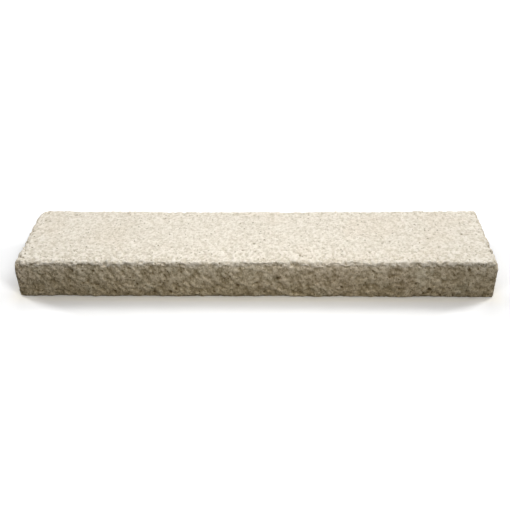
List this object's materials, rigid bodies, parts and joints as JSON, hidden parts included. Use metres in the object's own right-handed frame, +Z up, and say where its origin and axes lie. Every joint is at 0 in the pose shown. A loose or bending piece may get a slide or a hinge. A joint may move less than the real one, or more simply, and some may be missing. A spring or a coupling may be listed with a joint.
{
  "type": "wall coping stone",
  "caption": "Flat rectangular cast-stone coping with rough hewn faces, softened arrises and a plain flat bed, laid end to end along the head of a garden wall.",
  "frame": {"origin": "middle of the bed, the flat underside that is mortared to the wall", "axes": "+X along the wall, +Y across the wall, +Z up from the bed to the top"},
  "size_m": [0.58, 0.136, 0.05],
  "materials": {
    "cast_stone": "rough, granular and matt, pale buff"
  },
  "bodies": {
    "root": {"coping_stone": "cast_stone"}
  },
  "joints": []
}
